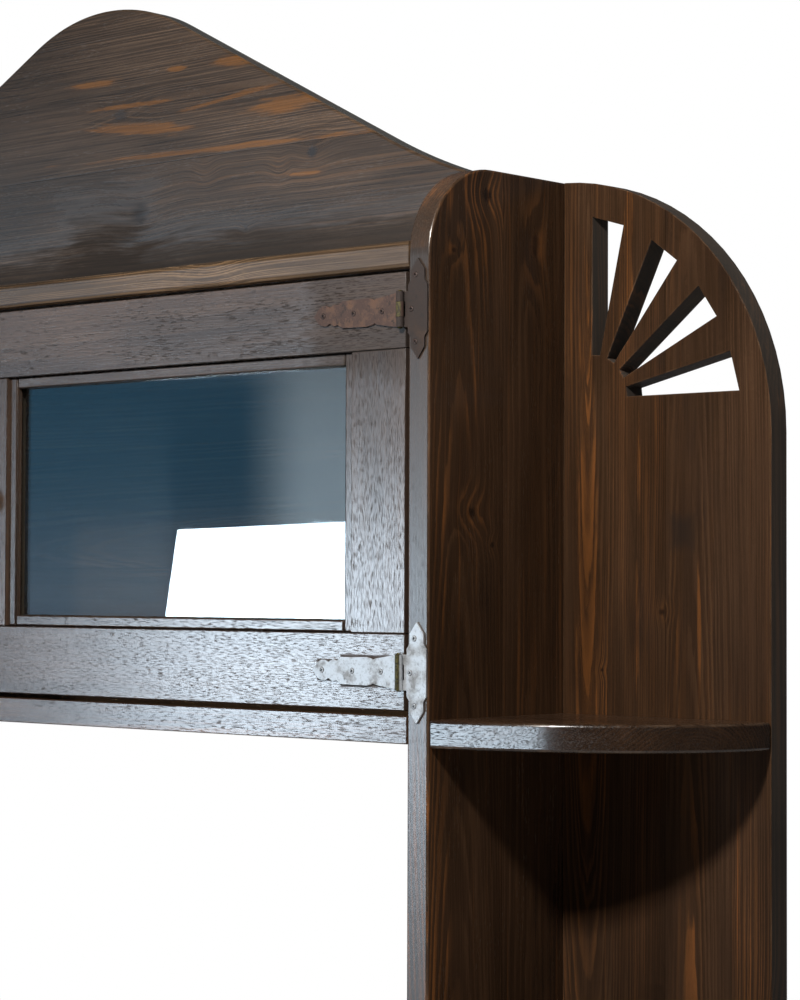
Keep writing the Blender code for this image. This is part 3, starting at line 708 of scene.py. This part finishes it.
class WALLUNIT_OT_carcass(bpy.types.Operator):
    """Build the uprights, boards and backs of the carcass"""

    bl_idname = "wallunit.carcass"
    bl_label = "Carcass boards"

    def execute(self, context):
        wood = context.scene.wall_unit_wood
        finish, shelf_finish = stain("carcass_stain"), stain("shelf_stain")
        for side, _ in SIDES:
            # The uprights' paler front face is a painted sheen, and the grey of their edges partly dust,
            # partly painted sheen.
            add_board(
                f"upright_{side}", "zyx", finish, wood.board_ease,
                stave=0.131, tone=1.25, fire=1.2, front=1.1, dust=0.10,
            )
            add_board(
                f"wing_back_{side}", "zxy", stain("wing_stain"), wood.crest_ease,
                stave=0.152, tone=0.92, fire=1.0, rim=1.3, dust=0.35,
            )
        # The top's rounded edges are darkened: painted shade against the lamp's light on them.
        add_board(
            "cabinet_top", "xyz", stain("top_stain"), wood.top_ease,
            stave=0.14, fire=0.5, arris=0.45, butted=True,
        )
        # The bottom board's pale tone is partly a painted sheen on its front edge, its dark rounded edges
        # painted shade along the gap under the doors.
        add_board(
            "cabinet_bottom", "xyz", finish, wood.door_ease, stave=0.14, tone=3.0, pores=0.45, arris=0.25
        )
        for shelf in ("counter_shelf", "base_shelf"):
            add_board(shelf, "xyz", shelf_finish, wood.board_ease, stave=0.14)
        inside = stain("inside_stain")
        add_board("cabinet_back", "xzy", inside, wood.back_ease, stave=0.172, tone=1.3, fire=0.2)
        add_board("hanging_rail", "xzy", inside, wood.strip_ease)
        add_board("door_stop", "xzy", shelf_finish, wood.strip_ease)
        add_board("centre_divider", "zyx", shelf_finish, wood.board_ease, stave=0.14)
        add_board("toe_board", "xzy", shelf_finish, wood.board_ease)
        return {"FINISHED"}


class WALLUNIT_OT_crest(bpy.types.Operator):
    """Build the arched crest board"""

    bl_idname = "wallunit.crest"
    bl_label = "Crest"

    def execute(self, context):
        ease = context.scene.wall_unit_wood.crest_ease
        # The crest's grey top edge is partly dust and partly a painted sheen.
        add_board(
            "crest", "xzy", stain("crest_stain"), ease, stave=0.187, tone=0.95, fire=0.25, dust=0.70, luck=1
        )
        return {"FINISHED"}


class WALLUNIT_OT_wing_shelves(bpy.types.Operator):
    """Build the quarter-round shelves of both wings"""

    bl_idname = "wallunit.wing_shelves"
    bl_label = "Wing shelves"

    def execute(self, context):
        ease = context.scene.wall_unit_wood.crest_ease
        shelves = [node for node in frame["nodes"] if node.startswith("wing_shelf_")]
        if not shelves:
            raise RuntimeError("the frame has no wing shelves")
        for node in sorted(shelves):
            # The shelves' darker edges are painted shade.
            add_board(node, "xyz", stain("carcass_stain"), ease, tone=0.85, fire=0.2, pores=0.6, rim=0.6)
        return {"FINISHED"}


class WALLUNIT_OT_doors(bpy.types.Operator):
    """Build the rails, stiles and glazing beads of both doors"""

    bl_idname = "wallunit.doors"
    bl_label = "Door frames"

    def execute(self, context):
        wood = context.scene.wall_unit_wood
        finish = door_wood()
        frame_look = {"fire": 0.2, "pores": 0.9, "arris": 0.35}
        bead_look = {"tone": 0.9, "fire": 0.2, "pores": 0.9, "arris": 0.5}
        for side, _ in SIDES:
            for place in ("top", "bottom"):
                add_board(f"door_{side}_{place}_rail", "xzy", finish, wood.door_ease, **frame_look)
                add_board(f"door_{side}_bead_{place}", "xzy", finish, wood.bead_ease, **bead_look)
            for place in ("hinge", "latch"):
                add_board(f"door_{side}_{place}_stile", "zxy", finish, wood.door_ease, **frame_look)
                add_board(f"door_{side}_bead_{place}_side", "zxy", finish, wood.bead_ease, **bead_look)
        return {"FINISHED"}


class WALLUNIT_OT_panes(bpy.types.Operator):
    """Glaze both doors"""

    bl_idname = "wallunit.panes"
    bl_label = "Panes"

    def execute(self, context):
        glass = pane_glass()
        for side, _ in SIDES:
            pane = frame["nodes"][f"door_{side}_glass"]
            pane.data.materials.clear()
            pane.data.materials.append(glass)
        return {"FINISHED"}


class WALLUNIT_OT_hinges(bpy.types.Operator):
    """Build the hinge leaves and pins: bright with painted sheen below, tarnished with painted shade above
    """

    bl_idname = "wallunit.hinges"
    bl_label = "Strap hinges"

    def execute(self, context):
        ease = context.scene.wall_unit_hardware.leaf_ease
        for side, _ in SIDES:
            for level in HINGE_LEVELS:
                plate = metal("brown_plate" if level == "upper" else "zinc_plate")
                leaf = metal("brown_leaf") if level == "upper" else plate
                add_plate(f"hinge_strap_{side}_{level}", plate, ease)
                add_plate(f"hinge_frame_leaf_{side}_{level}", leaf, ease)
                add_plate(f"hinge_pin_{side}_{level}", metal("brass_barrel"), ease)
        return {"FINISHED"}


SCREW_SIZES = {"Head radius": "screw_radius", "Head height": "screw_height", "Recess width": "recess_width"}
SCREW_SUNK = 0.0022
STRAP_SCREWS = (0.031, 0.076, 0.1246)
LEAF_SCREWS = ((0.039, 0.0128), (0.0, 0.0065), (-0.038, 0.0128))


def screw_tree(material):
    """Node tree that sets a domed screw with a cross recess on every point, facing the front."""
    tree = bpy.data.node_groups.new("hinge_screws", "GeometryNodeTree")
    tree.interface.new_socket("Geometry", in_out="INPUT", socket_type="NodeSocketGeometry")
    for label in SCREW_SIZES:
        tree.interface.new_socket(label, in_out="INPUT", socket_type="NodeSocketFloat")
    tree.interface.new_socket("Geometry", in_out="OUTPUT", socket_type="NodeSocketGeometry")
    web = Wire(tree)
    given = web.node("NodeGroupInput")
    radius, height, width = (given.output(label) for label in SCREW_SIZES)

    ball = web.node("GeometryNodeMeshUVSphere", None, {"Segments": 24, "Rings": 14, "Radius": radius})
    dome = web.node(
        "GeometryNodeTransform", None, {"Geometry": ball, "Scale": web.join(1.0, 1.0, height / radius)}
    )
    bar = web.node("GeometryNodeMeshCube", None, {"Size": web.join(radius * 1.15, width, height * 1.3)})
    raised = web.join(0.0, 0.0, height)
    bar = web.node("GeometryNodeTransform", None, {"Geometry": bar, "Translation": raised})
    cross = web.node("GeometryNodeTransform", None, {"Geometry": bar, "Rotation": (0.0, 0.0, math.pi / 2)})
    head = dome
    for blade in (bar, cross):
        sockets = {"Mesh 1": head, "Mesh 2": blade}
        head = web.node("GeometryNodeMeshBoolean", {"operation": "DIFFERENCE"}, sockets)
    head = web.node("GeometryNodeSetShadeSmooth", None, {"Geometry": head, "Shade Smooth": False})
    x, y, z = web.node("GeometryNodeInputPosition").parts()
    head = web.node(
        "GeometryNodeStoreNamedAttribute", {"data_type": "FLOAT_VECTOR", "domain": "POINT"},
        {"Geometry": head, "Name": "head", "Value": web.join(x / radius, y / radius, z / height)},
    )

    roll = web.node(
        "FunctionNodeRandomValue", {"data_type": "FLOAT"}, {2: 0.0, 3: math.pi / 2, "Seed": 5}, output=1
    )
    turn = web.join(math.pi / 2, roll, 0.0)
    sockets = {"Points": given.output("Geometry"), "Instance": head, "Rotation": turn}
    placed = web.node("GeometryNodeInstanceOnPoints", None, sockets)
    solid = web.node("GeometryNodeRealizeInstances", None, {"Geometry": placed})
    painted = web.node("GeometryNodeSetMaterial", None, {"Geometry": solid, "Material": material})
    web.node("NodeGroupOutput", None, {"Geometry": painted})
    return tree


def grown_mesh(name, points, tree, values):
    """The mesh that a node tree makes on some points, with its named inputs set first."""
    seeds = bpy.data.meshes.new(f"{name}_points")
    seeds.from_pydata(points, [], [])
    holder = bpy.data.objects.new(f"{name}_holder", seeds)
    bpy.context.scene.collection.objects.link(holder)
    modifier = holder.modifiers.new("screws", "NODES")
    modifier.node_group = tree
    for socket in tree.interface.items_tree:
        if socket.in_out == "INPUT" and socket.name in values:
            modifier[socket.identifier] = values[socket.name]
    ready = holder.evaluated_get(bpy.context.evaluated_depsgraph_get())
    mesh = bpy.data.meshes.new_from_object(ready)
    mesh.name = name
    holder.modifiers.remove(modifier)
    bpy.data.objects.remove(holder)
    return mesh


class WALLUNIT_OT_screws(bpy.types.Operator):
    """Set three screws in every hinge leaf"""

    bl_idname = "wallunit.screws"
    bl_label = "Hinge screws"

    def execute(self, context):
        hardware = context.scene.wall_unit_hardware
        tree = screw_tree(screw_steel())
        values = {label: getattr(hardware, name) for label, name in SCREW_SIZES.items()}
        upright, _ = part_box("upright_right")
        groups = {"carcass": [], "door_right": [], "door_left": []}
        for side, sign in SIDES:
            for level in HINGE_LEVELS:
                low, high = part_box(f"hinge_strap_{side}_{level}")
                pin_low, pin_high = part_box(f"hinge_pin_{side}_{level}")
                face = high.y - SCREW_SUNK
                pin = (pin_low.x + pin_high.x) / 2
                centre = (low.z + high.z) / 2
                for away in STRAP_SCREWS:
                    groups[f"door_{side}"].append((pin - sign * away, face, centre))
                for rise, inset in LEAF_SCREWS:
                    groups["carcass"].append((sign * (upright.x + inset), face, centre + rise))
        for body, points in groups.items():
            mesh = grown_mesh(f"hinge_screws_{body}", points, tree, values)
            finished(f"hinge_screws_{body}", mesh, screw_steel(), body, [])
        return {"FINISHED"}


KNOB_PROFILE = (
    (0.0, 0.0), (0.0, 0.0092), (0.001, 0.0104), (0.0026, 0.0104), (0.0038, 0.009),
    (0.0052, 0.0064), (0.008, 0.0056), (0.0112, 0.006), (0.014, 0.0088), (0.0166, 0.0126),
    (0.0196, 0.0146), (0.0224, 0.01497), (0.025, 0.0142), (0.0272, 0.0118), (0.0288, 0.0078),
    (0.0297, 0.0036), (0.03, 0.0),
)


def turned_mesh(name, profile, centre, foot, steps=48):
    """A turned piece standing out towards the front, from its profile of reach and radius."""
    bm = bmesh.new()
    rings = []
    for reach, radius in profile:
        count = steps if radius > 0.0 else 1
        ring = []
        for k in range(count):
            angle = 2 * math.pi * k / count
            across, up = radius * math.cos(angle), radius * math.sin(angle)
            ring.append(bm.verts.new((centre[0] + across, foot - reach, centre[1] + up)))
        rings.append(ring)
    for one, two in zip(rings, rings[1:]):
        for k in range(steps):
            one_side = [one[k % len(one)], one[(k + 1) % len(one)]]
            other_side = [two[(k + 1) % len(two)], two[k % len(two)]]
            bm.faces.new(list(dict.fromkeys(one_side + other_side)))
    bmesh.ops.recalc_face_normals(bm, faces=bm.faces)
    for face in bm.faces:
        face.smooth = True
    mesh = bpy.data.meshes.new(name)
    bm.to_mesh(mesh)
    bm.free()
    return mesh


class WALLUNIT_OT_furniture(bpy.types.Operator):
    """Fit the knobs, strike plates and catches"""

    bl_idname = "wallunit.furniture"
    bl_label = "Knobs and catches"

    def execute(self, context):
        hardware = context.scene.wall_unit_hardware
        iron = metal("iron_furniture")
        for side, _ in SIDES:
            node = f"door_{side}_knob"
            low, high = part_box(node)
            centre = ((low.x + high.x) / 2, (low.z + high.z) / 2)
            mesh = turned_mesh(f"{node}_turned", KNOB_PROFILE, centre, high.y)
            finished(f"{node}_turned", mesh, iron, f"door_{side}", [node])
            add_plate(f"door_{side}_strike_plate", iron, hardware.strike_ease)
            add_plate(f"door_catch_{side}", iron, hardware.catch_ease)
        return {"FINISHED"}


# Stage, in metres and degrees

WINDOW_Y = -9.0
WINDOW_OUTLINES = {
    "stage_window_0": ((-9.46, -0.248), (-9.071, 1.742), (-6.731, 1.793), (-6.731, -0.248)),
    "stage_window_1": ((-6.5, 0.27), (-6.5, 0.90), (2.2, 0.90), (2.2, 0.27)),
}
DAYLIGHT = (0.71, 0.86, 1.0)
LAMP_COLOUR = (1.0, 0.965, 0.92)
KEY = {"size": 0.20, "spread": 180.0, "place": (1.25, -1.725, 2.74), "aim": (0.95, 0.0, 1.20)}
FILL = {"size": 0.80, "spread": 30.0, "place": (-1.30, -4.00, 1.00), "aim": (-0.10, 0.0, 0.15)}
CAMERA_PLACE = (2.8627, -2.41975, 1.4115)
CAMERA_TURN, CAMERA_TILT, CAMERA_ROLL = 42.09, 1.81, 0.21
LEFT, FRONT_LEFT, BACK_LEFT = (-0.7071, 0.7071, 0.0), (-0.72, -0.68, 0.10), (-0.60, 0.77, 0.20)


def flat_mesh(name, corners):
    """One flat face."""
    mesh = bpy.data.meshes.new(name)
    mesh.from_pydata(corners, [], [tuple(range(len(corners)))])
    return mesh


def staged(name, mesh, material):
    """An object of the stage, which isn't part of the unit."""
    mesh.materials.append(material)
    prop = bpy.data.objects.new(name, mesh)
    bpy.context.scene.collection.objects.link(prop)
    return prop


def floor_finish(colour):
    """Matt pale floor that keeps the unit's shadow and fades into the white behind it."""
    material, web = new_finish("stage_floor")
    place = web.node("ShaderNodeTexCoord", output="Object")
    x, y, _ = place.parts()
    away = (x ** 2.0 + y ** 2.0).maths("SQRT", x ** 2.0 + y ** 2.0)
    darker = tuple(0.97 * part for part in colour)
    tone = web.mix(place.noise((0.8, 0.8, 0.8), 2.0), opaque(colour), opaque(darker))
    sockets = {"Base Color": tone, "Roughness": 0.9, "Specular IOR Level": 0.0}
    matt = web.node("ShaderNodeBsdfPrincipled", None, sockets)
    white = web.node("ShaderNodeEmission", None, {"Color": (1.0, 1.0, 1.0, 1.0), "Strength": 1.0})
    path = web.node("ShaderNodeLightPath")
    fade = (0.62 + away.step(1.6, 4.2) * 0.38) * path.output("Is Camera Ray")
    close_finish(web, web.node("ShaderNodeMixShader", None, {0: fade, 1: matt, 2: white}))
    return material


def window_finish(name, strength):
    """Plain bright panel, only ever seen in gloss, dimmer at its foot and at one end."""
    material, web = new_finish(name)
    x, _, height = web.node("ShaderNodeTexCoord", output="Object").parts()
    end = x.step(-7.22, -7.08) - x.step(-6.92, -6.78)
    level = 0.06 + height.step(0.22, 0.43) * 0.94
    level = level + (0.05 + height.step(0.475, 0.615) * 0.45 - level) * end
    colour = web.mix(level, (0.0, 0.0, 0.0, 1.0), opaque(DAYLIGHT))
    close_finish(web, web.node("ShaderNodeEmission", None, {"Color": colour, "Strength": strength}))
    return material


def add_lamp(name, power, size, spread, place, aim):
    """A square lamp at a place, turned to a point."""
    lamp = bpy.data.lights.new(name, "AREA")
    lamp.energy, lamp.size, lamp.spread, lamp.color = power, size, math.radians(spread), LAMP_COLOUR
    holder = bpy.data.objects.new(name, lamp)
    holder.location = place
    holder.rotation_euler = (Vector(aim) - Vector(place)).to_track_quat("-Z", "Y").to_euler()
    bpy.context.scene.collection.objects.link(holder)
    return holder


def lit_world(stage):
    """White for the camera and through glass, a dim room for gloss, and even light for the rest."""
    world = bpy.data.worlds.new("studio")
    bpy.context.scene.world = world
    world.use_nodes = True
    world.node_tree.nodes.clear()
    web = Wire(world.node_tree)
    towards = web.node("ShaderNodeTexCoord", output="Generated")
    leftness, height = towards.dot(LEFT), towards.parts()[2]
    shaded = leftness.step(-0.020, 0.010) * (1.0 - height.step(0.070, 0.105))
    corner = web.mix(height.step(-0.020, 0.050), opaque(stage.low_room), opaque(stage.blue_room))
    upper = web.mix(height.step(0.10, 0.165), opaque(stage.room), opaque(stage.upper_room))
    room = web.mix(shaded, upper.scaled(2.3 - height.step(0.04, 0.10) * 0.6), corner.scaled(1.15))
    gloss = web.mix(towards.dot(FRONT_LEFT).step(0.78, 0.97), opaque(stage.dusk), room)
    leftward = towards.dot(BACK_LEFT).step(0.0, 0.9)
    around = web.mix(leftward, opaque(stage.ambient), opaque(stage.left_light))
    path = web.node("ShaderNodeLightPath")
    through = path.output("Is Transmission Ray")
    inner = through * path.output("Glossy Depth").least(1.0)
    seen = path.output("Is Camera Ray").most(through - inner)
    colour = web.mix(path.output("Is Glossy Ray").most(inner), around, gloss)
    colour = web.mix(seen, colour, (1.0, 1.0, 1.0, 1.0))
    back = web.node("ShaderNodeBackground", None, {"Color": colour, "Strength": 1.0})
    web.node("ShaderNodeOutputWorld", None, {"Surface": back})


class WALLUNIT_OT_stage(bpy.types.Operator):
    """Set up the floor, the light and the camera"""

    bl_idname = "wallunit.stage"
    bl_label = "Stage"

    def execute(self, context):
        stage = context.scene.wall_unit_stage
        context.scene.view_settings.view_transform = "Standard"
        angles = [k * math.pi / 48 for k in range(96)]
        reach = stage.floor_radius
        rim = [(reach * math.cos(angle), reach * math.sin(angle), -0.001) for angle in angles]
        staged("stage_floor", flat_mesh("stage_floor", rim), floor_finish(stage.floor))

        # The first window shows in all gloss, the last one only in the wing shelves' edges
        for name, outline in WINDOW_OUTLINES.items():
            mesh = flat_mesh(name, [(x, WINDOW_Y, z) for x, z in outline])
            panel = staged(name, mesh, window_finish(name, stage.sheen))
            panel.visible_camera = panel.visible_diffuse = False
        shelves = bpy.data.collections.new("stage_low_band_shelves")
        for node in frame["nodes"]:
            if node.startswith("wing_shelf_"):
                shelves.objects.link(bpy.data.objects[f"{node}_board"])
        panel.light_linking.receiver_collection = shelves

        add_lamp("key", stage.key_power, **KEY)
        fill = add_lamp("fill", stage.fill_power, **FILL)
        fill.visible_glossy = False
        lit_world(stage)

        turn, tilt, roll = (math.radians(angle) for angle in (CAMERA_TURN, CAMERA_TILT, CAMERA_ROLL))
        ahead = Vector((-math.sin(turn) * math.cos(tilt), math.cos(turn) * math.cos(tilt), math.sin(tilt)))
        level = Vector((math.cos(turn), math.sin(turn), 0.0))
        above = level.cross(ahead)
        across = math.cos(roll) * level + math.sin(roll) * above
        up = math.cos(roll) * above - math.sin(roll) * level
        view = bpy.data.cameras.new("camera")
        view.lens, view.sensor_width = stage.lens, 36.0
        camera = bpy.data.objects.new("camera", view)
        placing = Matrix((across, up, -ahead)).transposed().to_4x4()
        placing.translation = CAMERA_PLACE
        camera.matrix_world = placing
        context.scene.collection.objects.link(camera)
        context.scene.camera = camera
        return {"FINISHED"}


class WALLUNIT_PT_builder(bpy.types.Panel):
    """Sidebar list of the unit's builders and settings"""

    bl_idname = "WALLUNIT_PT_builder"
    bl_label = "Wall unit"
    bl_space_type = "VIEW_3D"
    bl_region_type = "UI"
    bl_category = "Wall unit"

    def draw(self, context):
        for builder in BUILDERS:
            self.layout.operator(builder.bl_idname)
        for group in SETTINGS:
            box = self.layout.box()
            for name in SETTINGS[group].__annotations__:
                box.prop(getattr(context.scene, group), name)


BUILDERS = (
    WALLUNIT_OT_carcass,
    WALLUNIT_OT_crest,
    WALLUNIT_OT_wing_shelves,
    WALLUNIT_OT_doors,
    WALLUNIT_OT_panes,
    WALLUNIT_OT_hinges,
    WALLUNIT_OT_screws,
    WALLUNIT_OT_furniture,
    WALLUNIT_OT_stage,
)
SETTINGS = {
    "wall_unit_wood": WallUnitWood,
    "wall_unit_hardware": WallUnitHardware,
    "wall_unit_stage": WallUnitStage,
}


def register():
    for cls in (*SETTINGS.values(), *BUILDERS, WALLUNIT_PT_builder):
        bpy.utils.register_class(cls)
    for name, group in SETTINGS.items():
        setattr(bpy.types.Scene, name, bpy.props.PointerProperty(type=group))


def unregister():
    for name in SETTINGS:
        delattr(bpy.types.Scene, name)
    for cls in (WALLUNIT_PT_builder, *reversed(BUILDERS), *SETTINGS.values()):
        bpy.utils.unregister_class(cls)


def main():
    register()
    bpy.ops.wallunit.carcass()
    bpy.ops.wallunit.crest()
    bpy.ops.wallunit.wing_shelves()
    bpy.ops.wallunit.doors()
    bpy.ops.wallunit.panes()
    bpy.ops.wallunit.hinges()
    bpy.ops.wallunit.screws()
    bpy.ops.wallunit.furniture()
    bpy.ops.wallunit.stage()


if __name__ == "__main__":
    main()
